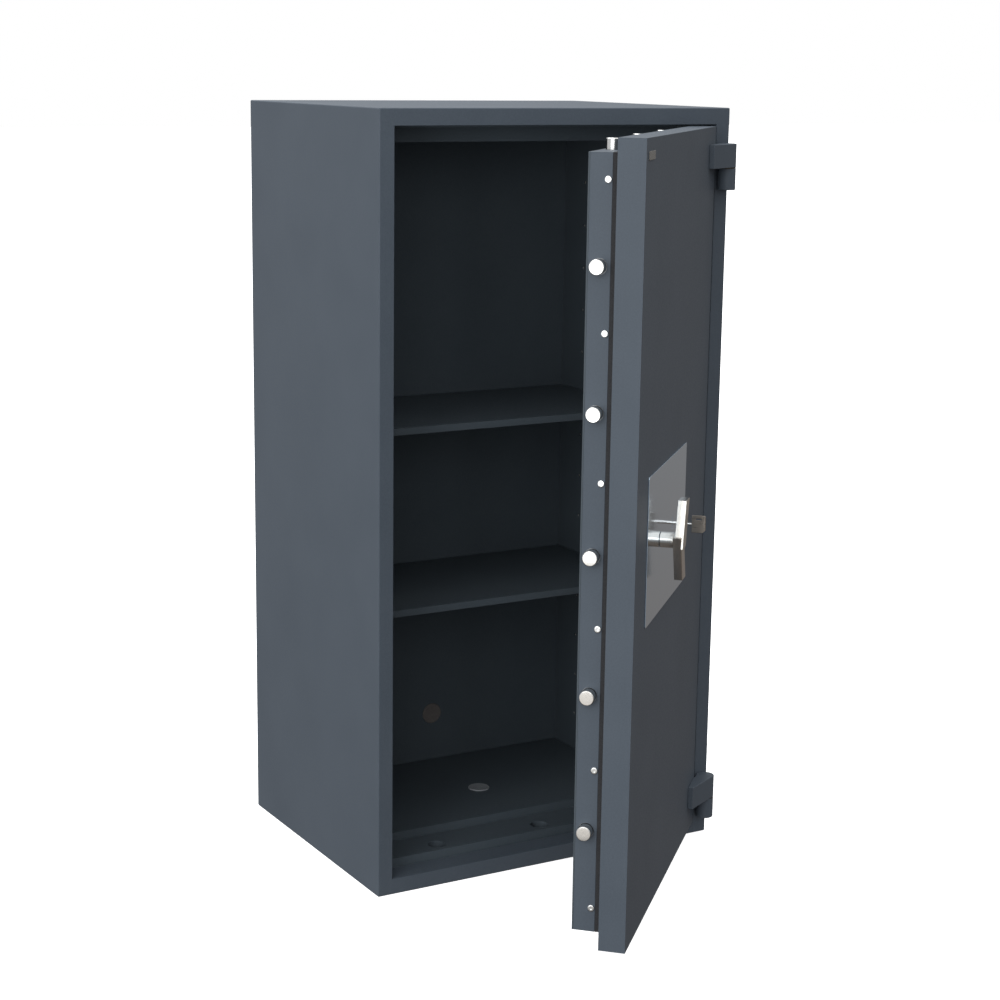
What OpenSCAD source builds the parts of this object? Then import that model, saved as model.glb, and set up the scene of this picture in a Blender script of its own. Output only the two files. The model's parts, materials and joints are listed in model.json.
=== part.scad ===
// Gun safe: fire-lined steel cabinet with one hinged door. A two-arm handle throws
// eleven locking bolts by rack and pinion, and a double-bit key lock holds the gear.
// The origin is on the floor at the middle of the cabinet. The door front faces -Y.
// Door parts are drawn shut, then turned about the hinge pins to the resting angle.

/* [Cabinet] */
// Outside width of the cabinet
body_w = 770; // [760:5:800]
// Outside depth of the cabinet
body_d = 580; // [560:10:700]
// Outside height of the cabinet
body_h = 1500; // [1490:5:1520]
// Sheet thickness of the outer shell and of the inner liner
sheet_t = 3; // [2:0.5:4]
// Width of the front frame at the sides
jamb_w = 31; // [28:1:32]
// Height of the front frame at the bottom and the top
lip_h = 32; // [30:1:34]
// Depth of the front frame, which the shut door fills
lip_d = 52; // [52:1:54]
// Depth of the zone behind the front frame that the bolts enter
bolt_zone_d = 85; // [80:1:100]
// Distance from the side of the cabinet to the compartment
side_wall = 65; // [60:1:80]
// Distance from the floor to the compartment, and from the top
floor_wall = 67; // [62:1:80]
// Distance from the back of the cabinet to the compartment
back_wall = 75; // [70:1:110]

/* [Shelves] */
// Height of the top of the lower shelf
shelf_low_z = 522; // [300:1:700]
// Height of the top of the upper shelf
shelf_high_z = 886; // [760:1:1200]
// Height of the folded edge of a shelf
shelf_edge = 14; // [12:1:20]

/* [Door] */
// Width of the door leaf
door_w = 692; // [688:1:696]
// Thickness of the door leaf
door_t = 49; // [46:1:50]
// Opening angle of the door at rest
door_open = 45; // [0:5:135]
// Gap between the door leaf and the bolt case, filled by the fire seal
seal_t = 12; // [8:1:12]
// Depth of the bolt case on the back of the door
case_d = 42; // [38:1:44]

/* [Bolts] */
// Diameter of every bolt
bolt_dia = 27; // [22:1:28]
// Distance between neighbouring side bolts
side_pitch = 250; // [200:5:250]
// Length of bolt that shows when drawn back
bolt_show = 20; // [16:1:20]

/* [Handle and lock] */
// Length of each handle arm from the spindle
arm_reach = 76; // [60:1:90]
// Width of each handle arm
arm_w = 30; // [26:1:32]
// Width of the lock plate on the door front
plate_w = 367; // [340:1:380]
// Height of the lock plate on the door front
plate_h = 272; // [240:1:290]

/* [Hidden] */
$fn = 96;

// Cabinet faces
hw = body_w / 2;
front_y = -body_d / 2;
back_y = body_d / 2;
jamb_x = hw - jamb_w;
inside_x = hw - sheet_t;
zone_y = front_y + lip_d;
room_y = zone_y + bolt_zone_d;
room_x = hw - side_wall;
room_back_y = back_y - back_wall;
room_bottom = floor_wall;
room_top = body_h - floor_wall;
sill_z = 50;
head_z = body_h - 37;

// Door leaf, shut: the hinge axis stands in front of the right jamb
hinge_x = door_w / 2 + 21;
hinge_y = front_y - 20;
door_gap_z = 3;
door_bottom = lip_h + door_gap_z;
door_top = body_h - door_bottom;
door_back_y = front_y + door_t;
skin_t = 4;
edge_t = 3;

// Bolt case on the back of the door
case_bottom = door_bottom + 25;
case_top = door_top - 25;
case_left = -door_w / 2 + 22;
case_right = door_w / 2 - 16;
case_y = door_back_y + seal_t;
case_back_y = case_y + case_d;
case_t = 3;

// Bolts
bolt_r = bolt_dia / 2;
bolt_hole_r = bolt_r + 0.9;
guide_gap = 0.06;
bolt_y = case_y + 20;
bolt_chamfer = 1.2;
socket_r = 18;
side_bolt_z = [for (i = [1:5]) i * side_pitch];
top_bolt_x = [-226, -2, 222];
bottom_bolt_x = [-213, 25, 263];
bottom_show = 8;
dog_z = [375, 625, 875, 1125];
dog_r = 12;
dog_reach = 14;

// Hinges
hinge_r = 18;
pin_r = 7;
pin_gap = 0.05;
knuckle_h = 42;
washer_h = 2;
arm_h = 46;
hinge_low_z = 43;
hinge_high_z = body_h - 158;
arm_end = 70;
arm_end_t = 10;

// Handle and lock, on the shut door
spindle_x = -129;
spindle_z = 744;
spindle_r = 8;
hub_r = 14.4;
hub_gap = 0.5;
bush_r = 12;
arm_t = 15.5;
arm_low_y = front_y - 42.5;
arm_high_y = front_y - 46;
arm_rake = 18;
arm_past = [12, 8];
plate_x = -67.5;
plate_t = 2;
key_x = -12;
key_z = 750;
key_r = 3;
bit_h = 11;
bit_t = 2.4;
keyhole_r = 4;
keyhole_w = 3.6;
keyhole_h = 24;

// Rack and pinion: one quarter turn moves every bolt by its throw
gear_module = 1.5;
gear_teeth = 17;
gear_r = gear_module * gear_teeth / 2;
tooth_pitch = PI * gear_module;
addendum = 1.1;
dedendum = 1.8;
backlash = 0.5;
bolt_throw = gear_r * PI / 2;
gear_y = case_y + 6;
gear_w = 24;
rack_w = 14;
rack_reach = 36;
rack_t = 8;
rack_low_y = case_y + 7;
rack_high_y = rack_low_y + rack_t + 2;
lock_bolt_h = 10;
lock_bolt_z = 715;

// ---- building blocks ----
module block(x, y, z) translate([x[0], y[0], z[0]]) cube([x[1] - x[0], y[1] - y[0], z[1] - z[0]]);

module rod_x(x, y, z, r) translate([x[0], y, z]) rotate([0, 90, 0]) cylinder(r = r, h = x[1] - x[0]);

module rod_y(x, y, z, r) translate([x, y[1], z]) rotate([90, 0, 0]) cylinder(r = r, h = y[1] - y[0]);

module rod_z(x, y, z, r) translate([x, y, z[0]]) cylinder(r = r, h = z[1] - z[0]);

// Round bar along +Z with a chamfered tip
module bolt_bar(r, h) {
    cylinder(r = r, h = h - bolt_chamfer);
    translate([0, 0, h - bolt_chamfer]) cylinder(r1 = r, r2 = r - bolt_chamfer, h = bolt_chamfer);
}

// Turns a part of the shut door to the resting angle
module on_door() translate([hinge_x, hinge_y, 0]) rotate([0, 0, door_open])
    translate([-hinge_x, -hinge_y, 0]) children();

// Flat outline in X and Z, given its Y span
module panel(y) translate([0, y[1], 0]) rotate([90, 0, 0]) linear_extrude(y[1] - y[0]) children();

module rounded_rect(w, h, r) hull() for (i = [-1, 1], j = [-1, 1])
    translate([i * (w / 2 - r), j * (h / 2 - r)]) circle(r = r, $fn = 32);

module rect_at(x, z) translate([x[0], z[0]]) square([x[1] - x[0], z[1] - z[0]]);

// Keyhole: a round hole with a slot for the two bits
module keyhole(y) {
    rod_y(key_x, y, key_z, keyhole_r);
    block([key_x - keyhole_w / 2, key_x + keyhole_w / 2], y, [key_z - keyhole_h / 2, key_z + keyhole_h / 2]);
}

// ---- cabinet ----
module outer_shell() color("slategray") difference() {
    block([-hw, hw], [front_y, back_y], [0, body_h]);
    block([-inside_x, inside_x], [front_y - 1, back_y - sheet_t], [sheet_t, body_h - sheet_t]);
    rod_z(0, 0, [-1, sheet_t + 1], anchor_tube_r);
    rod_y(0, [back_y - sheet_t - 1, back_y + 1], rear_anchor_z, anchor_tube_r);
}

module front_frame() color("slategray") difference() {
    block([-inside_x, inside_x], [front_y, zone_y], [sheet_t, body_h - sheet_t]);
    block([-jamb_x, jamb_x], [front_y - 1, zone_y + 1], [lip_h, body_h - lip_h]);
}

module bolt_frame() color("dimgray") difference() {
    block([-inside_x, inside_x], [zone_y, room_y], [sheet_t, body_h - sheet_t]);
    block([-jamb_x, jamb_x], [zone_y - 1, room_y + 1], [sill_z, head_z]);
    for (z = side_bolt_z) rod_x([-jamb_x - 14, -jamb_x + 1], bolt_y, z, socket_r);
    for (x = top_bolt_x) rod_z(x, bolt_y, [head_z - 1, head_z + 21], socket_r);
    for (x = bottom_bolt_x) rod_z(x, bolt_y, [sill_z - 22, sill_z + 1], socket_r);
    for (z = dog_z) rod_x([jamb_x - 1, jamb_x + 12], bolt_y, z, socket_r);
}

anchor_hole_r = 9;
anchor_tube_r = 13;
plug_r = 22.5;
plug_t = 2.5;
rear_anchor_z = 172;
pin_rows_y = [room_back_y - 290, room_back_y - 80];
pin_row_pitch = 91;
pin_row_z = 148.5;
pin_hole_r = 3.5;

module inner_liner() color("dimgray") difference() {
    union() {
        block([-inside_x, inside_x], [room_y, room_y + sheet_t], [sheet_t, body_h - sheet_t]);
        block([-room_x - sheet_t, room_x + sheet_t], [room_y, room_back_y + sheet_t],
            [room_bottom - sheet_t, room_top + sheet_t]);
    }
    block([-room_x, room_x], [room_y - 1, room_back_y], [room_bottom, room_top]);
    rod_z(0, 0, [room_bottom - sheet_t - 1, room_bottom + 1], anchor_tube_r);
    rod_y(0, [room_back_y - 1, room_back_y + sheet_t + 1], rear_anchor_z, anchor_tube_r);
    for (y = pin_rows_y, i = [0:13])
        rod_x([-room_x - sheet_t - 1, room_x + sheet_t + 1], y, pin_row_z + i * pin_row_pitch, pin_hole_r);
}

module wall_fill() color("lightgray") difference() {
    block([-inside_x, inside_x], [room_y + sheet_t, back_y - sheet_t], [sheet_t, body_h - sheet_t]);
    block([-room_x - sheet_t, room_x + sheet_t], [room_y, room_back_y + sheet_t],
        [room_bottom - sheet_t, room_top + sheet_t]);
    rod_z(0, 0, [0, room_bottom], anchor_tube_r);
    rod_y(0, [room_back_y, back_y], rear_anchor_z, anchor_tube_r);
    for (pin_z = [shelf_pin_z(shelf_low_z), shelf_pin_z(shelf_high_z)], y = pin_rows_y)
        rod_x([-room_x - 10, room_x + 10], y, pin_z, pin_hole_r);
}

// The pins of a shelf sit in the row of holes nearest below its top
function shelf_pin_z(top) = pin_row_z + pin_row_pitch * floor((top - 6 - pin_row_z) / pin_row_pitch);

shelf_t = 1.5;
shelf_gap = 2;
shelf_front_y = room_y + 15;
shelf_back_y = room_back_y - 3;

module shelf(top) color("dimgray") difference() {
    block([-room_x + shelf_gap, room_x - shelf_gap], [shelf_front_y, shelf_back_y], [top - shelf_edge, top]);
    block([-room_x + shelf_gap + shelf_t, room_x - shelf_gap - shelf_t],
        [shelf_front_y + shelf_t, shelf_back_y - shelf_t], [top - shelf_edge - 1, top - shelf_t]);
    for (y = pin_rows_y) {
        rod_x([-room_x, room_x], y, shelf_pin_z(top), pin_hole_r);
        block([-room_x, room_x], [y - pin_hole_r, y + pin_hole_r],
            [top - shelf_edge - 1, shelf_pin_z(top)]);
    }
}

module shelf_pins(top) color("silver") for (side = [-1, 1], y = pin_rows_y)
    translate([side * (room_x - 4), y, shelf_pin_z(top)]) rotate([0, side * 90, 0]) {
        translate([0, 0, -10]) cylinder(r = pin_hole_r - 0.1, h = 23);
        translate([0, 0, -10]) cylinder(r = 5, h = 2);
    }

module floor_anchor_tube() color("gray") difference() {
    rod_z(0, 0, [0, room_bottom], anchor_tube_r);
    rod_z(0, 0, [-1, room_bottom + 1], anchor_hole_r);
}

module floor_anchor_plug() color("gainsboro") rod_z(0, 0, [room_bottom, room_bottom + plug_t], plug_r);

module rear_anchor_tube() color("gray") difference() {
    rod_y(0, [room_back_y, back_y], rear_anchor_z, anchor_tube_r);
    rod_y(0, [room_back_y - 1, back_y + 1], rear_anchor_z, anchor_hole_r);
}

module rear_anchor_plug() color("rosybrown")
    rod_y(0, [room_back_y - plug_t, room_back_y], rear_anchor_z, plug_r);

module hinge_knuckle(z) color("slategray") difference() {
    union() {
        rod_z(hinge_x, hinge_y, [z, z + knuckle_h], hinge_r);
        block([hinge_x - 6, hinge_x + hinge_r], [hinge_y, front_y], [z, z + knuckle_h]);
    }
    rod_z(hinge_x, hinge_y, [z + 8, z + knuckle_h + 1], pin_r);
}

module hinge_pin(z) color("silver") rod_z(hinge_x, hinge_y, [z + 8, z + knuckle_h + washer_h + 34], pin_r);

module hinge_washer(z) color("goldenrod") difference() {
    rod_z(hinge_x, hinge_y, [z + knuckle_h, z + knuckle_h + washer_h], hinge_r - 0.3);
    rod_z(hinge_x, hinge_y, [z + knuckle_h - 1, z + knuckle_h + washer_h + 1], pin_r + pin_gap);
}

// ---- door leaf ----
// The arm tapers along the door front and closes tangent to the knuckle
module hinge_arm(z) {
    base = z + knuckle_h + washer_h;
    end_x = -(hinge_x - door_w / 2) - arm_end;
    face = front_y - hinge_y;
    tip = [end_x, face - arm_end_t];
    touch = atan2(tip[1], tip[0]) + acos(hinge_r / norm(tip));
    color("slategray") on_door() translate([hinge_x, hinge_y, base]) difference() {
        union() {
            cylinder(r = hinge_r, h = arm_h);
            linear_extrude(arm_h) polygon([tip, hinge_r * [cos(touch), sin(touch)], [0, hinge_r],
                [door_w / 2 - hinge_x, hinge_r], [door_w / 2 - hinge_x, face], [end_x, face]]);
        }
        translate([0, 0, -1]) cylinder(r = pin_r + pin_gap, h = 37);
    }
}

module door_skin() color("slategray") on_door() difference() {
    block([-door_w / 2, door_w / 2], [front_y, door_back_y], [door_bottom, door_top]);
    block([-door_w / 2 + edge_t, door_w / 2 - edge_t], [front_y + skin_t, door_back_y + 1],
        [door_bottom + edge_t, door_top - edge_t]);
    keyhole([front_y - 1, front_y + skin_t + 1]);
    rod_y(spindle_x, [front_y - 1, front_y + skin_t + 1], spindle_z, bush_r);
}

module door_fill() color("lightgray") on_door() difference() {
    block([-door_w / 2 + edge_t, door_w / 2 - edge_t], [front_y + skin_t, door_back_y - edge_t],
        [door_bottom + edge_t, door_top - edge_t]);
    rod_y(key_x, [front_y, door_back_y], key_z, keyhole_h / 2 + 2);
    rod_y(spindle_x, [front_y, door_back_y], spindle_z, bush_r);
}

module door_back_plate() color("dimgray") on_door() difference() {
    block([-door_w / 2 + edge_t, door_w / 2 - edge_t], [door_back_y - edge_t, door_back_y],
        [door_bottom + edge_t, door_top - edge_t]);
    keyhole([door_back_y - edge_t - 1, door_back_y + 1]);
    rod_y(spindle_x, [door_back_y - edge_t - 1, door_back_y + 1], spindle_z, bush_r);
}

module fire_seal() color("dimgray") on_door() difference() {
    block([case_left, case_right], [door_back_y, case_y], [case_bottom, case_top]);
    block([case_left + 25, case_right - 25], [door_back_y - 1, case_y + 1],
        [case_bottom + 25, case_top - 25]);
}

module bolt_housing() color("slategray") on_door() difference() {
    block([case_left, case_right], [case_y, case_back_y - case_t], [case_bottom, case_top]);
    block([case_left + case_t, case_right - case_t], [case_y + case_t, case_back_y],
        [case_bottom + case_t, case_top - case_t]);
    for (z = side_bolt_z) rod_x([case_left - 1, case_left + case_t + 1], bolt_y, z, bolt_hole_r);
    for (x = top_bolt_x) rod_z(x, bolt_y, [case_top - case_t - 1, case_top + 1], bolt_hole_r);
    for (x = bottom_bolt_x) rod_z(x, bolt_y, [case_bottom - 1, case_bottom + case_t + 1], bolt_hole_r);
    for (z = dog_z) rod_x([case_right - case_t - 1, case_right + 1], bolt_y, z, dog_r);
    keyhole([case_y - 1, case_y + case_t + 1]);
    rod_y(spindle_x, [case_y - 1, case_y + case_t + 1], spindle_z, bush_r);
}

screw_x = [case_left + 14, (case_left + case_right) / 2, case_right - 14];
screw_z = [for (i = [0:5]) case_bottom + 45 + i * 258];
screw_r = 6.5;

module housing_cover() color("dimgray") on_door()
    block([case_left, case_right], [case_back_y - case_t, case_back_y], [case_bottom, case_top]);

module housing_screws() color("gainsboro") on_door() for (z = screw_z)
    rod_x([case_left - 2.5, case_left], case_y + 7, z, screw_r);

module cover_screws() color("gainsboro") on_door() for (x = screw_x, z = screw_z)
    rod_y(x, [case_back_y, case_back_y + 2], z, screw_r);

// Guide rails hold each row of bolts in line
module side_guide() color("gray") on_door() difference() {
    block([case_left + case_t, case_left + case_t + 12], [case_y + case_t, case_back_y - case_t],
        [side_bolt_z[0] - 30, side_bolt_z[4] + 30]);
    for (z = side_bolt_z) rod_x([case_left, case_left + 20], bolt_y, z, bolt_r + guide_gap);
}

module top_guide() color("gray") on_door() difference() {
    block([top_bolt_x[0] - 30, top_bolt_x[2] + 30], [case_y + case_t, case_back_y - case_t],
        [case_top - case_t - 12, case_top - case_t]);
    for (x = top_bolt_x) rod_z(x, bolt_y, [case_top - 20, case_top], bolt_r + guide_gap);
}

module bottom_guide() color("gray") on_door() difference() {
    block([bottom_bolt_x[0] - 30, bottom_bolt_x[2] + 30], [case_y + case_t, case_back_y - case_t],
        [case_bottom + case_t, case_bottom + case_t + 12]);
    for (x = bottom_bolt_x) rod_z(x, bolt_y, [case_bottom, case_bottom + 20], bolt_r + guide_gap);
}

module hinge_dogs() color("silver") on_door() for (z = dog_z)
    translate([case_right - 20, bolt_y, z]) rotate([0, 90, 0])
        bolt_bar(dog_r, door_w / 2 + dog_reach - case_right + 20);

module hard_plate() color("gray") on_door() difference() {
    block([-190, 70], [door_back_y, case_y - 1], [674, 826]);
    keyhole([door_back_y - 1, case_y]);
    rod_y(spindle_x, [door_back_y - 1, case_y], spindle_z, bush_r);
}

module lock_plate() color("lightslategray") on_door() difference() {
    translate([0, 0, spindle_z]) panel([front_y - plate_t, front_y])
        translate([plate_x, 0]) rounded_rect(plate_w, plate_h, 4);
    keyhole([front_y - plate_t - 1, front_y + 1]);
    rod_y(spindle_x, [front_y - plate_t - 1, front_y + 1], spindle_z, bush_r);
}

module badge() color("silver") on_door()
    block([-328, -276], [front_y - 1.5, front_y], [door_top - 37, door_top - 22]);

module spindle_bush() color("goldenrod") on_door() difference() {
    rod_y(spindle_x, [front_y - plate_t, gear_y - 0.5], spindle_z, bush_r);
    rod_y(spindle_x, [front_y - plate_t - 1, gear_y], spindle_z, spindle_r + pin_gap);
}

// ---- key lock ----
lock_x = [-52, 32];
lock_z = [700, 800];
lock_y = [case_y + case_t, case_y + 29];
lock_wall = 2.5;

module lock_case() color("darkgray") on_door() difference() {
    block(lock_x, [lock_y[0], lock_y[1] - lock_wall], lock_z);
    block([lock_x[0] + lock_wall, lock_x[1] - lock_wall], [lock_y[0] + lock_wall, lock_y[1]],
        [lock_z[0] + lock_wall, lock_z[1] - lock_wall]);
    block([lock_x[0] - 1, lock_x[0] + lock_wall + 1], [rack_low_y - 0.3, rack_low_y + rack_t + 0.3],
        [lock_bolt_z - 0.3, lock_bolt_z + lock_bolt_h + 0.3]);
    rod_y(key_x, [lock_y[0] - 1, lock_y[0] + lock_wall + 1], key_z, 14.05);
}

module lock_case_lid() color("darkgray") on_door() block(lock_x, [lock_y[1] - lock_wall, lock_y[1]], lock_z);

module lock_levers() color("khaki") on_door() {
    rod_y(key_x + 20, [lock_y[0] + lock_wall, lock_y[1] - lock_wall], key_z + 34, 3);
    for (i = [0:6]) difference() {
        block([lock_x[0] + 8, lock_x[1] - 8], [lock_y[0] + 5 + i * 2.6, lock_y[0] + 7 + i * 2.6],
            [key_z + 16, lock_z[1] - lock_wall - 2]);
        rod_y(key_x + 20, [lock_y[0], lock_y[1]], key_z + 34, 3);
    }
}

module lock_bolt() color("silver") on_door()
    block([spindle_x + gear_r + rack_w + 4, 6], [rack_low_y, rack_low_y + rack_t],
        [lock_bolt_z, lock_bolt_z + lock_bolt_h]);

module lock_rotor() color("goldenrod") on_door() difference() {
    rod_y(key_x, [lock_y[0] + 0.4, lock_y[0] + 4], key_z, 14);
    rod_y(key_x, [lock_y[0], lock_y[0] + 5], key_z, key_r + 0.1);
    block([key_x - bit_t / 2 - 0.1, key_x + bit_t / 2 + 0.1], [lock_y[0], lock_y[0] + 5],
        [key_z - bit_h - 0.2, key_z + bit_h + 0.2]);
}

key_bow_y = [front_y - 64, front_y - 38];
key_bow_z = [key_z - 16, key_z + 17];
key_bow_t = 4;

module key_blade() color("silver") on_door() {
    rod_y(key_x, [key_bow_y[1], lock_y[0] + 20], key_z, key_r);
    for (i = [0:2]) block([key_x - bit_t / 2, key_x + bit_t / 2],
        [lock_y[0] + 6 + i * 4.5, lock_y[0] + 6 + i * 4.5 + 3.4],
        [key_z - bit_h + (i % 2) * 2.5, key_z + bit_h - (i % 2) * 2]);
    block([key_x - bit_t / 2, key_x + bit_t / 2], [lock_y[0] + 6, lock_y[0] + 18.4], [key_z - 6, key_z + 6]);
}

module key_bow() {
    mid_z = (key_bow_z[0] + key_bow_z[1]) / 2;
    len = key_bow_y[1] - key_bow_y[0];
    half = (key_bow_z[1] - key_bow_z[0]) / 2;
    color("tan") on_door() translate([key_x - key_bow_t / 2, key_bow_y[1], mid_z])
        rotate([90, 0, 90]) linear_extrude(key_bow_t) difference() {
            polygon([[0, half], [0, -half], [-len + 5, -half], [-len, -half + 5], [-len, half - 2],
                [-len + 2, half]]);
            translate([-len / 2 - 5.5, half - 9]) square([11, 3]);
        }
}

// ---- handle ----
// One straight arm leaning towards the hinges, flush with the hub; side is 1 up, -1 down
module arm_outline(side, reach, past) {
    near = -(hub_r + 0.3) / cos(arm_rake);
    far = near + arm_w / cos(arm_rake);
    lean = tan(arm_rake);
    mirror([0, side < 0 ? 1 : 0])
        polygon([[near - past * lean, -past], [near + reach * lean, reach],
            [far + reach * lean, reach], [far - past * lean, -past]]);
}

// A handle arm: the round boss on the spindle and the flat bar, between two depths
module arm_bar(side, reach, past, y) union() {
    rod_y(spindle_x, y, spindle_z, hub_r);
    at_spindle(y) arm_outline(side, reach, past);
}

module at_spindle(y) translate([spindle_x, 0, spindle_z]) panel(y) children();

module handle_hub() color("silver") on_door() difference() {
    rod_y(spindle_x, [arm_low_y + arm_t, front_y - plate_t - hub_gap], spindle_z, hub_r);
    rod_y(spindle_x, [arm_low_y, front_y], spindle_z, spindle_r);
}

module handle_arm_lower() color("silver") on_door() difference() {
    arm_bar(-1, arm_reach, arm_past[1], [arm_low_y, arm_low_y + arm_t]);
    rod_y(spindle_x, [arm_low_y - 1, front_y], spindle_z, spindle_r);
}

module handle_arm_upper() color("silver") on_door() difference() {
    arm_bar(1, arm_reach - 4, arm_past[0], [arm_high_y, arm_high_y + arm_t]);
    arm_bar(-1, arm_reach, arm_past[1], [arm_low_y, arm_low_y + arm_t + 1]);
    at_spindle([arm_low_y, arm_low_y + arm_t + 1])
        polygon([[-2 * arm_w, -2 * arm_w], [2 * arm_w, -2 * arm_w], [2 * arm_w, arm_past[1]],
            [-2 * arm_w, arm_past[1]]]);
}

module spindle() color("gray") on_door()
    rod_y(spindle_x, [arm_low_y, gear_y + gear_w + 3], spindle_z, spindle_r);

// ---- rack and pinion ----
function tooth_half(reach) = (tooth_pitch / 2 - backlash) / 2 - reach * tan(20);

module pinion() color("gray") on_door() difference() {
    at_spindle([gear_y, gear_y + gear_w]) union() {
        circle(r = gear_r - dedendum);
        for (i = [0:gear_teeth - 1]) rotate(i * 360 / gear_teeth) polygon([
            [gear_r - dedendum - 0.5, -tooth_half(-dedendum)], [gear_r + addendum, -tooth_half(addendum)],
            [gear_r + addendum, tooth_half(addendum)], [gear_r - dedendum - 0.5, tooth_half(-dedendum)]]);
    }
    rod_y(spindle_x, [gear_y - 1, gear_y + gear_w + 1], spindle_z, spindle_r);
}

// Rack outline along +X with teeth towards -Y near the origin; x = shift puts a gap on a pinion tooth
module rack_outline(from, to, shift) {
    translate([from, dedendum]) square([to - from, rack_w - dedendum]);
    for (i = [ceil((max(from, -rack_reach) - shift) / tooth_pitch):
            floor((min(to, rack_reach) - shift) / tooth_pitch) - 1])
        translate([shift + (i + 0.5) * tooth_pitch, 0]) polygon([
            [-tooth_half(-dedendum), dedendum + 0.1], [-tooth_half(addendum), -addendum],
            [tooth_half(addendum), -addendum], [tooth_half(-dedendum), dedendum + 0.1]]);
}

// Angle from the nearest pinion tooth to a rack's line of action, as a length on the pitch circle
function tooth_shift(angle) = (round(angle * gear_teeth / 360) * 360 / gear_teeth - angle) * PI / 180 * gear_r;

module side_carriage() color("darkgray") on_door() difference() {
    bar_x = case_left + 38;
    union() {
        block([bar_x, bar_x + 16], [bolt_y - 12, bolt_y + 12], [side_bolt_z[0] - 15, side_bolt_z[4] + 15]);
        translate([0, 0, gear_r]) at_spindle([rack_high_y, rack_high_y + rack_t])
            rack_outline(bar_x + 15 - spindle_x, 34, -tooth_shift(90));
    }
    for (z = side_bolt_z) rod_x([bar_x - 1, bar_x + 17], bolt_y, z, bolt_r - 4);
}

module side_bolts() color("gainsboro") on_door() for (z = side_bolt_z)
    translate([case_left - bolt_show, bolt_y, z]) rotate([0, -90, 0]) translate([0, 0, -58]) {
        bolt_bar(bolt_r, 58);
        translate([0, 0, -16]) cylinder(r = bolt_r - 4, h = 17);
    }

carriage_top_z = case_top - 60;
carriage_bottom_z = case_bottom + 60;

module top_carriage() color("darkgray") on_door() difference() {
    union() {
        block([top_bolt_x[0] - 15, top_bolt_x[2] + 15], [bolt_y - 12, bolt_y + 12],
            [carriage_top_z, carriage_top_z + 16]);
        translate([spindle_x + gear_r, 0, spindle_z]) panel([rack_low_y, rack_low_y + rack_t])
            mirror([0, 1]) rotate(-90)
            rack_outline(-60, carriage_top_z + 1 - spindle_z, tooth_shift(0));
    }
    for (x = top_bolt_x) rod_z(x, bolt_y, [carriage_top_z - 1, carriage_top_z + 17], bolt_r - 4);
    for (z = [lock_bolt_z, lock_bolt_z - bolt_throw])
        block([spindle_x + gear_r + rack_w - 7.5, spindle_x + gear_r + rack_w + 1],
            [rack_low_y - 1, rack_low_y + rack_t + 1], [z - 1, z + lock_bolt_h + 1]);
}

module top_bolts() color("gainsboro") on_door() for (x = top_bolt_x)
    translate([x, bolt_y, carriage_top_z]) {
        translate([0, 0, 16]) bolt_bar(bolt_r, case_top + bolt_show - carriage_top_z - 16);
        cylinder(r = bolt_r - 4, h = 17);
    }

module bottom_carriage() color("darkgray") on_door() difference() {
    union() {
        block([bottom_bolt_x[0] - 15, bottom_bolt_x[2] + 15], [bolt_y - 12, bolt_y + 12],
            [carriage_bottom_z - 16, carriage_bottom_z]);
        translate([spindle_x - gear_r, 0, spindle_z]) panel([rack_low_y, rack_low_y + rack_t])
            rotate(90) rack_outline(carriage_bottom_z - 1 - spindle_z, 40, -tooth_shift(180));
    }
    for (x = bottom_bolt_x) rod_z(x, bolt_y, [carriage_bottom_z - 17, carriage_bottom_z + 1], bolt_r - 4);
}

module bottom_bolts() color("gainsboro") on_door() for (x = bottom_bolt_x)
    translate([x, bolt_y, carriage_bottom_z]) mirror([0, 0, 1]) {
        translate([0, 0, 16]) bolt_bar(bolt_r, carriage_bottom_z - 16 - case_bottom + bottom_show);
        cylinder(r = bolt_r - 4, h = 17);
    }

outer_shell();
front_frame();
bolt_frame();
inner_liner();
wall_fill();
shelf(shelf_low_z);  // shelf_lower
shelf(shelf_high_z);  // shelf_upper
shelf_pins(shelf_low_z);  // shelf_pins_lower
shelf_pins(shelf_high_z);  // shelf_pins_upper
floor_anchor_tube();
floor_anchor_plug();
rear_anchor_tube();
rear_anchor_plug();
hinge_knuckle(hinge_low_z);  // hinge_knuckle_lower
hinge_knuckle(hinge_high_z);  // hinge_knuckle_upper
hinge_pin(hinge_low_z);  // hinge_pin_lower
hinge_pin(hinge_high_z);  // hinge_pin_upper
hinge_washer(hinge_low_z);  // hinge_washer_lower
hinge_washer(hinge_high_z);  // hinge_washer_upper
door_skin();
door_fill();
door_back_plate();
fire_seal();
hinge_arm(hinge_low_z);  // hinge_arm_lower
hinge_arm(hinge_high_z);  // hinge_arm_upper
bolt_housing();
housing_cover();
housing_screws();
cover_screws();
side_guide();
top_guide();
bottom_guide();
hinge_dogs();
hard_plate();
lock_plate();
badge();
spindle_bush();
lock_case();
lock_case_lid();
lock_levers();
handle_hub();
handle_arm_lower();
handle_arm_upper();
spindle();
pinion();
side_bolts();
side_carriage();
top_bolts();
top_carriage();
bottom_bolts();
bottom_carriage();
lock_bolt();
lock_rotor();
key_blade();
key_bow();
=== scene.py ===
# %% [markdown]
# # A gun safe with its door open
# This lesson dresses a steel safe: a welded and powder-coated cabinet, a thick door on two
# hinges, bright locking bolts, a satin steel lock plate with a two-arm handle, and a key.
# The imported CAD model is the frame: it says where every piece is and how it moves. Each piece
# here takes its place and size from it, in metres, so nothing is fitted by eye.

# %% Load the frame
import json
import math

import bmesh
import bpy
from mathutils import Matrix, Vector


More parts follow.
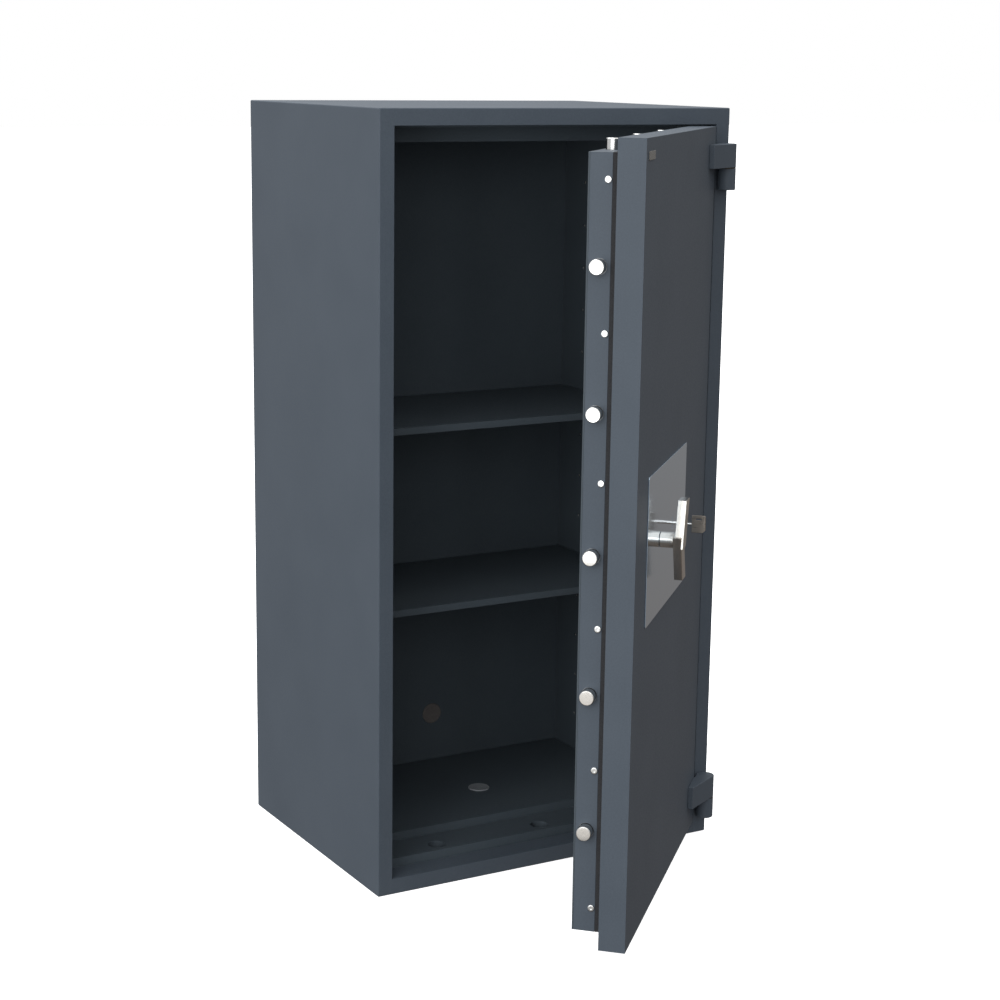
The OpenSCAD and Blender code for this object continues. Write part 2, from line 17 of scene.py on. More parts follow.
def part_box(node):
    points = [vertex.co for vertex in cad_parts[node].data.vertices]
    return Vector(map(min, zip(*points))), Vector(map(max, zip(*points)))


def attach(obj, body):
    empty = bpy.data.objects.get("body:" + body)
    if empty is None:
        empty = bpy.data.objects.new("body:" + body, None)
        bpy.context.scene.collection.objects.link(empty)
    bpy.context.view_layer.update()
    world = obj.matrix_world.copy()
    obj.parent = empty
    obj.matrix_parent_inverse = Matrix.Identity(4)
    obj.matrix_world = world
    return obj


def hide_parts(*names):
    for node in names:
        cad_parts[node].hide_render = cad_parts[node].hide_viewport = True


MM = 0.001
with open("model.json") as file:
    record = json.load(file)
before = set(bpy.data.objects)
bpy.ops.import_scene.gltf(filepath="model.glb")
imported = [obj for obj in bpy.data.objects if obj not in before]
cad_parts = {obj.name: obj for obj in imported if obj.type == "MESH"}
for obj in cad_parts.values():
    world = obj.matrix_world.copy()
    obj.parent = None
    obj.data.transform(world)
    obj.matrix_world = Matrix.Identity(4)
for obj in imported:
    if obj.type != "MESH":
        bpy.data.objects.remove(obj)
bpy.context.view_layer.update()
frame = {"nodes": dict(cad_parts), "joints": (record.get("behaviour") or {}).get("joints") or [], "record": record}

# %% [markdown]
# The door rests open, but a door is easier to make shut, with its edges along X and Z. So door
# pieces are made shut, and one matrix, the swing of the hinge from shut to rest, carries them to
# their place. The hinge's line and the angle come from the joint.

# %% The door's swing
JOINT = {joint["name"]: joint for joint in frame["joints"]}
HINGE = Vector(JOINT["door_swing"]["pos_m"])
OPEN_ANGLE = -math.radians(JOINT["door_swing"]["range_deg"][0])
SWING = Matrix.Translation(HINGE) @ Matrix.Rotation(OPEN_ANGLE, 4, "Z") @ Matrix.Translation(-HINGE)
BODIES = frame["record"]["behaviour"]["bodies"]
BODY_OF = {node: body for body, members in BODIES.items() for node in members}
SLOT_OF = {row["node"]: row["material_slot"] for row in frame["record"]["subparts"]}


def swing_of(node):
    """The matrix from the upright, shut drawing position to rest."""
    return Matrix.Identity(4) if BODY_OF[node] == "cabinet" else SWING


def upright_box(node):
    """Lowest and highest corner of a node with the door shut."""
    back = swing_of(node).inverted()
    points = [back @ vertex.co for vertex in frame["nodes"][node].data.vertices]
    return (Vector([min(p[axis] for p in points) for axis in range(3)]),
            Vector([max(p[axis] for p in points) for axis in range(3)]))


print("the door rests open by", round(math.degrees(OPEN_ANGLE)), "degrees")

# %% [markdown]
# ## Materials
# Colours are written as sRGB hex values, as on a paint chart. Cycles wants linear light, so one
# function converts. One more function adds a shader node with its settings and its feeds.
# Patterns read Object coordinates, which are metres here, so a scale is one over a real size.

# %% Material helpers


def linear(hex_colour):
    """sRGB hex to linear RGBA."""
    parts = [int(hex_colour[i:i + 2], 16) / 255 for i in (1, 3, 5)]
    return [c / 12.92 if c <= 0.04045 else ((c + 0.055) / 1.055) ** 2.4 for c in parts] + [1]


def add(tree, kind, feeds=None, **settings):
    """One shader node. A feed is a plain value, or (node, output name) to link from."""
    made = tree.nodes.new(kind)
    for name, value in settings.items():
        setattr(made, name, value)
    for socket, source in (feeds or {}).items():
        if isinstance(source, tuple) and isinstance(source[0], bpy.types.Node):
            tree.links.new(source[0].outputs[source[1]], made.inputs[socket])
        else:
            made.inputs[socket].default_value = source
    return made


def new_material(name, hex_colour, roughness, metallic=0.0):
    """A node material: its tree, its shader and its Object coordinates."""
    material = bpy.data.materials.new(name)
    material.use_nodes = True
    material.diffuse_color = linear(hex_colour)
    tree = material.node_tree
    tree.nodes.clear()
    shader = add(tree, "ShaderNodeBsdfPrincipled", {
        "Base Color": linear(hex_colour), "Roughness": roughness, "Metallic": metallic})
    add(tree, "ShaderNodeOutputMaterial", {"Surface": (shader, "BSDF")})
    return material, tree, shader, (add(tree, "ShaderNodeTexCoord"), "Object")


def colour_between(tree, shader, value, stops):
    """Feeds the base colour from a value through a ramp of (position, hex) stops."""
    made = add(tree, "ShaderNodeValToRGB", {"Fac": value})
    ends = made.color_ramp.elements
    ends[0].position, ends[0].color = stops[0][0], linear(stops[0][1])
    ends[1].position, ends[1].color = stops[-1][0], linear(stops[-1][1])
    for position, hex_colour in stops[1:-1]:
        ends.new(position).color = linear(hex_colour)
    tree.links.new(made.outputs["Color"], shader.inputs["Base Color"])


def roughness_between(tree, shader, value, low, high):
    """Feeds the roughness from a value of about 0.3 to 0.7."""
    spread = add(tree, "ShaderNodeMapRange", {
        "Value": value, "From Min": 0.3, "From Max": 0.7, "To Min": low, "To Max": high})
    tree.links.new(spread.outputs["Result"], shader.inputs["Roughness"])


def relief(tree, shader, value, strength, height_mm):
    """Feeds the normal from a value as small hills."""
    bump = add(tree, "ShaderNodeBump", {
        "Height": value, "Strength": strength, "Distance": height_mm * MM})
    tree.links.new(bump.outputs["Normal"], shader.inputs["Normal"])


# %% [markdown]
# Powder coat is dry paint powder melted onto steel. It flows into an orange peel of low hills
# one or two millimetres wide, which breaks up every highlight, and it is never equally thick,
# so its tone drifts slowly over the sheet. Hills that fine vanish in a picture of a whole safe,
# so they are drawn about twice as wide. A satin coat reflects little, so its specular is low.

# %% Powder coat
PEEL_MM = 3.0      # real hills are 1 to 2 mm wide
DRIFT_MM = 160     # one pass of the spray gun


def powder_coat(name, dark_hex, light_hex, roughness, specular):
    """Satin paint with an orange peel relief and a slow drift of tone."""
    material, tree, shader, place = new_material(name, dark_hex, roughness)
    drift = add(tree, "ShaderNodeTexNoise", {"Vector": place, "Scale": 1 / (DRIFT_MM * MM),
                                             "Detail": 3})
    peel = add(tree, "ShaderNodeTexNoise", {"Vector": place, "Scale": 1 / (PEEL_MM * MM),
                                            "Detail": 2})
    tone = add(tree, "ShaderNodeMix", {"Factor": 0.55, "A": (drift, "Fac"), "B": (peel, "Fac")})
    colour_between(tree, shader, (tone, "Result"), [(0.35, dark_hex), (0.65, light_hex)])
    roughness_between(tree, shader, (peel, "Fac"), roughness - 0.06, roughness + 0.06)
    relief(tree, shader, (peel, "Fac"), 0.12, 0.5)
    shader.inputs["IOR"].default_value = 1.5
    shader.inputs["Specular IOR Level"].default_value = specular
    return material


# Blue-grey graphite: a dry sheen without a highlight; the compartment's copy is painted a little darker, as
# painted shade for the dim inside of the safe
BODY_PAINT = powder_coat("powder_coat_graphite_satin", "#474f58", "#4d555e", 0.52, 0.22)
SHADED_INNER_PAINT = powder_coat("powder_coat_graphite_painted_shade_inside", "#424a51", "#485056", 0.55, 0.22)
print("paints:", BODY_PAINT.name, SHADED_INNER_PAINT.name)

# %% [markdown]
# Metals differ here by how they were finished. A belt grinds the lock plate and the handle in
# one direction, and its hair-thin scratches smear reflections across them. Turned and plated
# parts have a finer, even grain. One noise makes both, stretched along the marks where there
# are any: it drives the roughness and a very slight relief. Metals keep the default IOR.

# %% Ground, turned and plated metal


def worked_metal(name, hex_colour, low, high, mark_mm, stretch=(1, 1, 1), depth=0.03):
    """Metal with fine marks; stretch squeezes the pattern along X, Y, Z, so it runs long there."""
    material, tree, shader, place = new_material(name, hex_colour, (low + high) / 2, 1.0)
    along = add(tree, "ShaderNodeMapping", {"Vector": place, "Scale": stretch})
    marks = add(tree, "ShaderNodeTexNoise", {"Vector": (along, "Vector"),
                                             "Scale": 1 / (mark_mm * MM), "Detail": 3})
    roughness_between(tree, shader, (marks, "Fac"), low, high)
    relief(tree, shader, (marks, "Fac"), depth, 0.2)
    return material


LEVEL_GRAIN = (0.03, 0.03, 1)      # belt marks run level across the door
UPRIGHT_GRAIN = (1, 1, 0.05)       # these run up and down
FINE_UPRIGHT_GRAIN = (1, 1, 0.1)

# A cool grey sheet, ground and then buffed: it mirrors the handle softly
PLATE_STEEL = worked_metal("stainless_steel_belt_ground", "#d6e9fb", 0.1, 0.14, 0.9,
                           LEVEL_GRAIN, 0.003)
# A warmer satin steel that turns white where a lamp faces it
HANDLE_STEEL = worked_metal("stainless_steel_satin", "#cfcac2", 0.16, 0.26, 0.8, UPRIGHT_GRAIN)
# A dull nickel, hardly lighter than the paint round it
BADGE_STEEL = worked_metal("nickel_plate_satin", "#8f8d88", 0.2, 0.3, 0.8, LEVEL_GRAIN)
# The brightest metal: bolt ends read as white discs on the dark door
BOLT_STEEL = worked_metal("steel_turned_chromed", "#d3d2cf", 0.12, 0.2, 2.0)
# Screws, pins and tubes: bright, with the faint cloudiness of plating
ZINC_STEEL = worked_metal("steel_zinc_plated", "#d0d1d0", 0.2, 0.3, 1.5)
# Inner works: mid grey under a film of oil
MACHINED = worked_metal("steel_machined_oiled", "#85878a", 0.3, 0.45, 1.0, FINE_UPRIGHT_GRAIN)
# The key's bow is a darker, browner nickel silver; its shaft stays polished
KEY_METAL = worked_metal("nickel_silver_dark_brownish", "#8f8880", 0.25, 0.42, 1.2, LEVEL_GRAIN, 0.06)
BLADE_STEEL = worked_metal("nickel_silver_polished", "#d6d2cc", 0.15, 0.22, 1.0, LEVEL_GRAIN)
# The hinge washers and the bush are a dark brown, close to the paint, so the seam between the knuckles doesn't
# show
BRONZE = worked_metal("bearing_bronze_dark_brown", "#4a3f2e", 0.35, 0.5, 1.0, FINE_UPRIGHT_GRAIN)
print("metals:", PLATE_STEEL.name, HANDLE_STEEL.name, BOLT_STEEL.name, ZINC_STEEL.name)

# %% [markdown]
# What is left is cast, pressed or moulded: the concrete fill in the walls and door, the dark
# board that swells in a fire and seals the gap, and the two plastic caps on the anchor holes.
# Each is a mottled tone with a soft relief of its own grain size.

# %% Cast and moulded materials


def mottled(name, dark_hex, light_hex, roughness, grain_mm, depth, specular=0.5):
    """A matt material whose tone and relief follow one grain."""
    material, tree, shader, place = new_material(name, dark_hex, roughness)
    grain = add(tree, "ShaderNodeTexNoise", {"Vector": place, "Scale": 1 / (grain_mm * MM),
                                             "Detail": 5})
    colour_between(tree, shader, (grain, "Fac"), [(0.3, dark_hex), (0.7, light_hex)])
    relief(tree, shader, (grain, "Fac"), depth, 1)
    shader.inputs["Specular IOR Level"].default_value = specular
    return material


# Pale and chalky, nearly black and dry, then two plain plastics with a soft sheen
CONCRETE = mottled("concrete_fire_fill_cast", "#8f8c85", "#a8a59d", 0.9, 4, 0.4)
SEAL_BOARD = mottled("intumescent_board_pressed", "#2c2c2e", "#343436", 0.85, 3, 0.3, 0.25)
PLUG_LIGHT = mottled("polyethylene_grey_moulded", "#7b7f83", "#83878b", 0.5, 8, 0.05)
PLUG_BROWN = mottled("polyethylene_brown_moulded", "#5c5755", "#645f5c", 0.55, 8, 0.05)

# inner_paint gets the darker copy of the graphite paint: painted shade for the compartment
SLOT_MATERIAL = {
    "body_paint": BODY_PAINT, "inner_paint": SHADED_INNER_PAINT, "fire_concrete": CONCRETE,
    "seal_strip": SEAL_BOARD, "bright_steel": ZINC_STEEL, "satin_steel": HANDLE_STEEL,
    "machined_steel": MACHINED, "bronze": BRONZE, "plug_light": PLUG_LIGHT,
    "plug_brown": PLUG_BROWN, "key_steel": KEY_METAL}
OWN_MATERIAL = {
    "lock_plate": PLATE_STEEL, "badge": BADGE_STEEL, "key_blade": BLADE_STEEL,
    "side_bolts": BOLT_STEEL,
    "top_bolts": BOLT_STEEL, "bottom_bolts": BOLT_STEEL, "hinge_dogs": BOLT_STEEL}


def material_of(node):
    """A node's own finish, or that of its material slot."""
    return OWN_MATERIAL.get(node, SLOT_MATERIAL[SLOT_OF[node]])


for name, cad_object in frame["nodes"].items():
    cad_object.data.materials.clear()
    cad_object.data.materials.append(material_of(name))
print("every CAD node has a finish:", len(bpy.data.materials), "materials")

# %% [markdown]
# ## From bmesh to piece
# Every new piece goes through the same last steps: its mesh gets an object at the origin, rides
# on a body, stands for its CAD nodes and takes their material slot. Faces are smooth, edges
# sharper than a limit stay sharp, and a Weighted Normal modifier lets the large flat faces win
# over their narrow rounded edges, so flats look flat and rounds look round.

# %% Piece helpers
FLAT_ENOUGH = math.radians(50)


def finish_piece(shape, name, *nodes):
    """Turns a bmesh, in place at rest, into a piece that stands for some CAD nodes."""
    bmesh.ops.recalc_face_normals(shape, faces=shape.faces)
    mesh = bpy.data.meshes.new(name)
    shape.to_mesh(mesh)
    shape.free()
    mesh.materials.append(material_of(nodes[0]))
    mesh.shade_smooth()
    mesh.set_sharp_from_angle(angle=FLAT_ENOUGH)
    piece = bpy.data.objects.new(name, mesh)
    bpy.context.scene.collection.objects.link(piece)
    even = piece.modifiers.new("flats_win", "WEIGHTED_NORMAL")
    even.keep_sharp = True
    even.weight = 100
    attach(piece, BODY_OF[nodes[0]])
    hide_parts(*nodes)
    return piece


def block(low, high):
    """A box between two corners, as a bmesh."""
    shape = bmesh.new()
    size = Vector(high) - Vector(low)
    centre = (Vector(high) + Vector(low)) / 2
    bmesh.ops.create_cube(shape, size=1, matrix=Matrix.Translation(centre)
                          @ Matrix.Diagonal(size).to_4x4())
    return shape


def round_edges(shape, radius_mm, segments=2, sharper_than=30, which=None):
    """Rounds every edge sharper than a limit, or only those that a test picks."""
    limit = math.radians(sharper_than)
    edges = [e for e in shape.edges
             if e.is_manifold and e.calc_face_angle(0) > limit and (which is None or which(e))]
    bmesh.ops.bevel(shape, geom=edges, offset=radius_mm * MM, offset_type="OFFSET",
                    affect="EDGES", segments=segments, profile=0.5, material=-1,
                    clamp_overlap=True)
    return shape


def drill(shape, holes):
    """Cuts round holes, each (centre, axis letter, radius, length), with an exact boolean."""
    cutter = bmesh.new()
    turn = {"X": Matrix.Rotation(math.pi / 2, 4, "Y"), "Y": Matrix.Rotation(math.pi / 2, 4, "X"),
            "Z": Matrix.Identity(4)}
    for centre, axis, radius, length in holes:
        bmesh.ops.create_cone(cutter, cap_ends=True, segments=40, radius1=radius, radius2=radius,
                              depth=length, matrix=Matrix.Translation(centre) @ turn[axis])
    pair = []
    for source, label in ((shape, "drilled"), (cutter, "drill_bit")):
        mesh = bpy.data.meshes.new(label)
        source.to_mesh(mesh)
        source.free()
        pair.append(bpy.data.objects.new(label, mesh))
        bpy.context.scene.collection.objects.link(pair[-1])
    cut = pair[0].modifiers.new("cut", "BOOLEAN")
    cut.object, cut.solver, cut.operation = pair[1], "EXACT", "DIFFERENCE"
    result = bmesh.new()
    result.from_object(pair[0], bpy.context.evaluated_depsgraph_get())
    for thing in pair:
        mesh = thing.data
        bpy.data.objects.remove(thing)
        bpy.data.meshes.remove(mesh)
    return result


def face_towards(shape, direction):
    """The one face that looks furthest along a direction."""
    way = Vector(direction)
    facing = [f for f in shape.faces if f.normal.dot(way) > 0.99]
    return max(facing, key=lambda f: f.calc_center_median().dot(way))


# %% [markdown]
# ## The cabinet
# The cabinet is one welded box of 3 mm sheet whose front edge turns inwards as a deep frame, the
# throat that the door closes into. The weld is ground flush and painted over, so the box and the
# frame look like one piece. It starts as a cube: the front face is inset to draw the frame's
# width and pushed in to make the throat, then the end of the throat spreads out behind the frame
# to the sheet, and is pushed back to the rear wall. That leaves a closed, hollow sheet shell.

# %% Cabinet shell
SHEET = 3 * MM
OUTER_ROUND_MM = 2.5     # the folds of the outer box
RIM_ROUND_MM = 1.2       # the edge of the opening
LONG_EDGE = 0.5          # metres; keeps the anchor holes' rims out of the rounding
shell_low, shell_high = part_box("outer_shell")
throat_low, throat_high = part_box("front_frame")
frame_points = [vertex.co for vertex in frame["nodes"]["front_frame"].data.vertices]
jamb = min(abs(p.x) for p in frame_points)
lip = min(p.z for p in frame_points if p.z > throat_low.z + SHEET)

middle = (shell_low.z + shell_high.z) / 2


def spread_face(shape, face, half_width, half_height):
    """Scales a face that looks along Y to a given half width and half height."""
    wide = max(abs(v.co.x) for v in face.verts)
    high = max(v.co.z - middle for v in face.verts)
    bmesh.ops.scale(shape, verts=face.verts, vec=(half_width / wide, 1, half_height / high),
                    space=Matrix.Translation((0, 0, -middle)))


def push_face(shape, face, depth):
    """Extrudes a face along Y by a depth and gives the new end face."""
    made = bmesh.ops.extrude_discrete_faces(shape, faces=[face])["faces"][0]
    bmesh.ops.translate(shape, verts=made.verts, vec=(0, depth, 0))
    return made


cabinet = block(shell_low, shell_high)
round_edges(cabinet, OUTER_ROUND_MM, segments=3)
front = face_towards(cabinet, (0, -1, 0))
bmesh.ops.inset_region(cabinet, faces=[front], use_even_offset=True,
                       thickness=shell_high.x - jamb - OUTER_ROUND_MM * MM)
spread_face(cabinet, front, jamb, middle - lip)
end = push_face(cabinet, front, throat_high.y - throat_low.y)
end = push_face(cabinet, end, 0)
spread_face(cabinet, end, shell_high.x - SHEET, middle - SHEET)
end = push_face(cabinet, end, shell_high.y - SHEET - throat_high.y)
tube_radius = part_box("floor_anchor_tube")[1].x
rear_hole = (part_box("rear_anchor_tube")[0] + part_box("rear_anchor_tube")[1]) / 2
bmesh.ops.recalc_face_normals(cabinet, faces=cabinet.faces)
cabinet = drill(cabinet, [
    ((0, 0, shell_low.z), "Z", tube_radius, 4 * SHEET),
    ((rear_hole.x, shell_high.y, rear_hole.z), "Y", tube_radius, 4 * SHEET)])
round_edges(cabinet, RIM_ROUND_MM, segments=2, sharper_than=60,
            which=lambda e: e.calc_length() > LONG_EDGE and abs(e.verts[0].co.x) < jamb + MM)
finish_piece(cabinet, "cabinet_shell", "outer_shell", "front_frame")
print("cabinet", [round(v, 3) for v in shell_high - shell_low], "m",
      "throat half width", round(jamb, 3))

# %% [markdown]
# ## Steelwork with rounded edges
# Folded sheet has a radius of about its thickness, and sawn or milled steel has its edges broken
# by half a millimetre. That thin round catches the light and draws the outline of a dark object.
# These pieces have the right shape in the CAD already, with their holes and pockets, so a copy
# of the CAD mesh is merged, its flat faces are made whole again, and its edges are rounded.

# %% Rounded copies
ROUND_MM = {
    "bolt_frame": 2.5, "inner_liner": 1.5, "shelf_lower": 0.5, "shelf_upper": 0.5,
    "door_skin": 1.6, "door_back_plate": 0.8, "bolt_housing": 0.6, "housing_cover": 0.4,
    "fire_seal": 1.0, "hinge_arm_lower": 1.5, "hinge_arm_upper": 1.5,
    "hinge_knuckle_lower": 1.2, "hinge_knuckle_upper": 1.2, "hinge_pin_lower": 0.8,
    "hinge_pin_upper": 0.8, "handle_hub": 0.6, "handle_arm_lower": 0.8, "handle_arm_upper": 0.8,
    "lock_plate": 0.5, "badge": 0.7, "key_bow": 0.8}
SMALLEST_EDGE_MM = {"bolt_housing": 12}     # its bores fit the bolts closely and stay crisp
SAME_POINT_MM = 0.005
SAME_PLANE_DEG = 0.3


def rounded_copy(node, radius_mm):
    """A CAD node made whole again, with all but its smallest edges rounded."""
    copy = bmesh.new()
    copy.from_mesh(frame["nodes"][node].data)
    bmesh.ops.remove_doubles(copy, verts=copy.verts, dist=SAME_POINT_MM * MM)
    bmesh.ops.dissolve_limit(copy, angle_limit=math.radians(SAME_PLANE_DEG),
                             verts=copy.verts, edges=copy.edges, use_dissolve_boundaries=False)
    small = SMALLEST_EDGE_MM.get(node, 0) * MM
    round_edges(copy, radius_mm, which=lambda edge: edge.calc_length() > small)
    return finish_piece(copy, node + "_rounded", node)


for name, radius in ROUND_MM.items():
    rounded_copy(name, radius)
print("rounded", len(ROUND_MM), "pieces")

# %% [markdown]
# ## Turned bolts
# A locking bolt is a bar turned on a lathe: a flat end face with a small centre mark, a
# chamfer that guides it into its socket, and a long straight shank. A lathe part is one outline
# turned about an axis, which is what spin does.

# %% Bolts and dogs
X, Z = 0, 2               # axis numbers
TIP_CHAMFER = 1.2 * MM
SOFT = 0.3 * MM           # how far each chamfer edge is broken
NECK_STEP = 4 * MM        # how much thinner the buried neck is
NECK = 16 * MM
CENTRE_MARK = 1.5 * MM
CENTRE_DEPTH = 0.8 * MM


def turned(outline, centre, towards, steps=48):
    """Spins an outline of (radius, height) points about an axis; it grows along a direction."""
    shape = bmesh.new()
    verts = [shape.verts.new((radius, 0, height)) for radius, height in outline]
    edges = [shape.edges.new(pair) for pair in zip(verts, verts[1:])]
    bmesh.ops.spin(shape, geom=verts + edges, cent=(0, 0, 0), axis=(0, 0, 1), dvec=(0, 0, 0),
                   angle=2 * math.pi, steps=steps, use_merge=True)
    bmesh.ops.remove_doubles(shape, verts=shape.verts, dist=0.001 * MM)
    way = Vector(towards).to_track_quat("Z", "Y").to_matrix().to_4x4()
    bmesh.ops.transform(shape, matrix=Matrix.Translation(centre) @ way, verts=shape.verts)
    return shape


def joined(shapes):
    """Several bmeshes as one."""
    whole = bmesh.new()
    for shape in shapes:
        mesh = bpy.data.meshes.new("part")
        shape.to_mesh(mesh)
        shape.free()
        whole.from_mesh(mesh)
        bpy.data.meshes.remove(mesh)
    return whole


def bolt_outline(radius, length, neck):
    """From the buried neck to the flat tip, with its chamfer and centre mark."""
    thin = radius - NECK_STEP
    foot = [(0, 0), (thin, 0), (thin, neck)] if neck else [(0, 0)]
    shoulder, face_rim = length - TIP_CHAMFER, radius - TIP_CHAMFER
    return foot + [(radius, neck), (radius, shoulder - SOFT),
                   (radius - 0.3 * SOFT, shoulder + 0.2 * SOFT),
                   (face_rim + 0.3 * SOFT, length - 0.6 * SOFT), (face_rim - SOFT, length),
                   (CENTRE_MARK, length), (0, length - CENTRE_DEPTH)]


def places(low, high, radius, counts, towards):
    """Centres spread evenly over a node's box, on its far side from a direction, and the
    depth of the box along that direction."""
    way = Vector(towards)
    spots = [(low + high) / 2]
    for axis, count in counts.items():
        first, step = low[axis] + radius, (high[axis] - low[axis] - 2 * radius) / (count - 1)
        spots = [Vector([first + step * i if k == axis else spot[k] for k in range(3)])
                 for spot in spots for i in range(count)]
    depth = abs((high - low).dot(way))
    return [spot - way * depth / 2 for spot in spots], depth


for node, counts, towards, neck in (
        ("side_bolts", {Z: 5}, (-1, 0, 0), NECK), ("top_bolts", {X: 3}, (0, 0, 1), NECK),
        ("bottom_bolts", {X: 3}, (0, 0, -1), NECK), ("hinge_dogs", {Z: 4}, (1, 0, 0), 0)):
    low, high = upright_box(node)
    radius = (high.y - low.y) / 2
    spots, length = places(low, high, radius, counts, towards)
    row = joined([turned(bolt_outline(radius, length, neck), spot, towards) for spot in spots])
    bmesh.ops.transform(row, matrix=swing_of(node), verts=row.verts)
    finish_piece(row, node + "_turned", node)
    print(node, len(spots), "bolts of", round(2000 * radius, 1), "mm")

# %% [markdown]
# ## Screws
# The lock case is closed by button-head socket screws: a low dome with a six-sided hole for an
# Allen key. The dome is turned like the bolts. For the hole, the inner rings of the turned shape
# are drawn in from a circle to a hexagon, which keeps the surface closed. All heads are one size,
# read from the single column of screws on the side.

# %% Button-head screws


def button_head(radius, height, centre, towards):
    """A domed screw head with a hexagon socket, made about Z and then turned and placed."""
    socket = 0.45 * radius
    sixth = math.pi / 3
    outline = [(0, 0), (radius, 0), (radius, 0.4 * height), (0.96 * radius, 0.75 * height),
               (0.86 * radius, 0.95 * height), (0.7 * radius, height), (socket, height),
               (socket, 0.35 * height), (0, 0.3 * height)]
    head = turned(outline, (0, 0, 0), (0, 0, 1), steps=24)
    for vert in head.verts:
        reach = math.hypot(vert.co.x, vert.co.y)
        if abs(reach - socket) < 0.01 * MM:
            around = math.atan2(vert.co.y, vert.co.x) % sixth - sixth / 2
            vert.co.xy *= math.cos(sixth / 2) / math.cos(around)
    way = Vector(towards).to_track_quat("Z", "Y").to_matrix().to_4x4()
    bmesh.ops.transform(head, matrix=Matrix.Translation(centre) @ way, verts=head.verts)
    return head


one_low, one_high = upright_box("housing_screws")
head_radius = (one_high.y - one_low.y) / 2
for node, counts, towards in (("housing_screws", {Z: 6}, (-1, 0, 0)),
                              ("cover_screws", {X: 3, Z: 6}, (0, 1, 0))):
    low, high = upright_box(node)
    spots, height = places(low, high, head_radius, counts, towards)
    heads = joined([button_head(head_radius, height, spot, towards) for spot in spots])
    bmesh.ops.transform(heads, matrix=swing_of(node), verts=heads.verts)
    finish_piece(heads, node + "_button_head", node)
    print(node, len(spots), "screws, head", round(2000 * head_radius, 1), "mm")

# %% [markdown]
# ## Anchor caps
# The floor and the back have holes for anchor bolts, closed with moulded plastic caps: a rounded
# rim with a slightly sunken middle, where the mould leaves a small round gate mark.

# %% Anchor caps
for node, towards in (("floor_anchor_plug", (0, 0, 1)), ("rear_anchor_plug", (0, -1, 0))):
    low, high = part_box(node)
    radius = (high.x - low.x) / 2
    spots, height = places(low, high, radius, {}, towards)
    cap = turned([(0, 0), (radius, 0), (radius, 0.5 * height), (radius - 0.7 * MM, 0.85 * height),
                  (radius - 1.8 * MM, height), (radius - 3.2 * MM, 0.92 * height),
                  (radius - 4.2 * MM, 0.7 * height), (1.6 * MM, 0.7 * height),
                  (1.2 * MM, 0.85 * height), (0, 0.85 * height)], spots[0], towards)
    finish_piece(cap, node + "_cap", node)
    print(node, round(2000 * radius), "mm wide")

# %% [markdown]
# ## The set
# The safe stands on a pale floor in a white studio. The floor glows, so that it stays clean
# white, and it is kept out of the safe's reflections and bounce light, as when dark cloth covers
# the floor round the set. The lens sees the world white. The safe is lit by a softer dome:
# lightest above, a little lighter on the left than on the right, and a dim warm brown below.

# %% Floor
HALF_FLOOR = 40          # metres, so that its edge is past the horizon of every view
FLOOR_GLOW = 0.8
floor_shape = bmesh.new()
bmesh.ops.create_grid(floor_shape, x_segments=1, y_segments=1, size=HALF_FLOOR)
floor_mesh = bpy.data.meshes.new("studio_floor")
floor_shape.to_mesh(floor_mesh)
floor_shape.free()
floor = bpy.data.objects.new("studio_floor", floor_mesh)
bpy.context.scene.collection.objects.link(floor)
floor_white, _, floor_shader, _ = new_material("floor_matt_white", "#f6f6f6", 0.9)
floor_shader.inputs["Specular IOR Level"].default_value = 0
floor_shader.inputs["Emission Color"].default_value = (1, 1, 1, 1)
floor_shader.inputs["Emission Strength"].default_value = FLOOR_GLOW
floor_mesh.materials.append(floor_white)
floor_mesh.transform(Matrix.Translation((0, 0, shell_low.z - 0.5 * MM)))
floor.visible_diffuse = False
floor.visible_glossy = False
floor.visible_shadow = False

# %% World
world = bpy.data.worlds.new("studio_dome")
world.use_nodes = True
bpy.context.scene.world = world
sky = world.node_tree
sky.nodes.clear()
BRIGHT_SIDE = Vector((-0.3, 0, 1)).normalized()     # above, and a little to the left
height = add(sky, "ShaderNodeVectorMath", {0: (add(sky, "ShaderNodeTexCoord"), "Generated"),
                                           1: BRIGHT_SIDE}, operation="DOT_PRODUCT")
level = add(sky, "ShaderNodeMapRange", {"Value": (height, "Value"), "From Min": -1, "From Max": 1})
shade = add(sky, "ShaderNodeValToRGB", {"Fac": (level, "Result")})
GROUND, LOW = (0.17, 0.14, 0.12, 1), (0.27, 0.27, 0.27, 1)
HIGH, ZENITH = (0.74, 0.75, 0.77, 1), (1.5, 1.5, 1.5, 1)
steps = shade.color_ramp.elements
steps[0].position, steps[0].color = 0.2, GROUND
steps[1].position, steps[1].color = 0.88, ZENITH
for position, colour in ((0.4, LOW), (0.6, HIGH), (0.75, HIGH)):
    steps.new(position).color = colour
dome = add(sky, "ShaderNodeBackground", {"Color": (shade, "Color")})
backdrop = add(sky, "ShaderNodeBackground", {"Color": (1, 1, 1, 1)})
choice = add(sky, "ShaderNodeMixShader", {0: (add(sky, "ShaderNodeLightPath"), "Is Camera Ray"),
                                          1: (dome, "Background"), 2: (backdrop, "Background")})
add(sky, "ShaderNodeOutputWorld", {"Surface": (choice, "Shader")})

# %% [markdown]
# Four soft boxes model the safe. A tall one stands to the left of the camera, so that the
# polished end faces of the bolts and the handle mirror it, and a weak warm one below it fades the
# lower bolts. A third fills the front and the compartment. A large one hangs overhead and makes
# the top the lightest face. All are far larger than the parts they light, so shadows are soft.

# %% Soft boxes


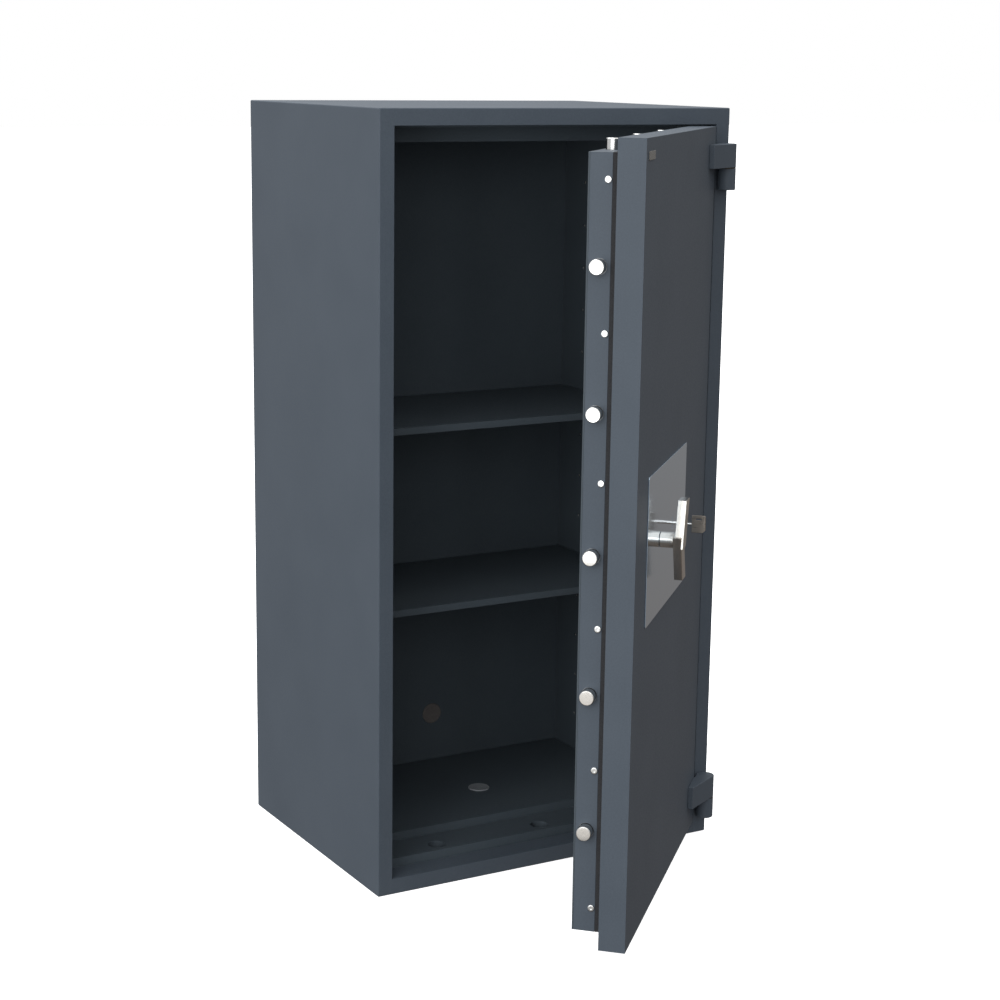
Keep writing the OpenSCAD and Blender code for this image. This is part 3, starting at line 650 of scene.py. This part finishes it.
def soft_box(name, place, target, width, height, power, colour):
    """A rectangular area light that faces a point; metres and watts."""
    light = bpy.data.lights.new(name, "AREA")
    light.shape, light.size, light.size_y = "RECTANGLE", width, height
    light.energy, light.color = power, colour
    lamp = bpy.data.objects.new(name, light)
    lamp.location = place
    lamp.rotation_euler = (Vector(target) - Vector(place)).to_track_quat("-Z", "Y").to_euler()
    bpy.context.scene.collection.objects.link(lamp)


soft_box("tall_left", (-3.4, -2.4, 1.5), (0, -0.4, 1.5), 1.8, 3.2, 57, (0.95, 0.98, 1.0))
soft_box("glow_below", (-3.4, -2.4, -0.7), (0, -0.4, -0.7), 1.8, 1.2, 4, (1.0, 0.93, 0.85))
soft_box("front_fill", (-2.2, -4.4, 2.0), (0, -0.2, 0.7), 2.0, 2.0, 33, (0.97, 0.99, 1.0))
soft_box("overhead", (-0.3, 1.3, 4.6), (-0.1, 0.6, 1.0), 3.0, 3.0, 80, (0.95, 0.98, 1.0))
print("lights:", [light.name for light in bpy.data.lights])

# %% [markdown]
# ## The camera
# The camera stands to the left of the front, a little above the safe's top and over four metres
# away, with a moderate telephoto lens. Its turn, tilt and slight roll make its three axes.

# %% Camera
EYE = Vector((-2.097, -3.697, 1.591))
TURN, TILT, ROLL = math.radians(30.06), math.radians(11.914), math.radians(0.79)
level_right = Vector((math.cos(TURN), -math.sin(TURN), 0))
ahead = Vector((math.sin(TURN) * math.cos(TILT), math.cos(TURN) * math.cos(TILT), -math.sin(TILT)))
level_up = level_right.cross(ahead)
right = math.cos(ROLL) * level_right + math.sin(ROLL) * level_up
up = math.cos(ROLL) * level_up - math.sin(ROLL) * level_right
lens = bpy.data.cameras.new("camera")
lens.lens, lens.sensor_width, lens.clip_end = 75.53, 36, 100
camera = bpy.data.objects.new("camera", lens)
camera.matrix_world = Matrix.Translation(EYE) @ Matrix((right, up, -ahead)).transposed().to_4x4()
bpy.context.scene.collection.objects.link(camera)
bpy.context.scene.camera = camera
bpy.context.scene.view_settings.view_transform = "Standard"
print("camera at", [round(v, 2) for v in EYE], "lens", lens.lens, "mm")
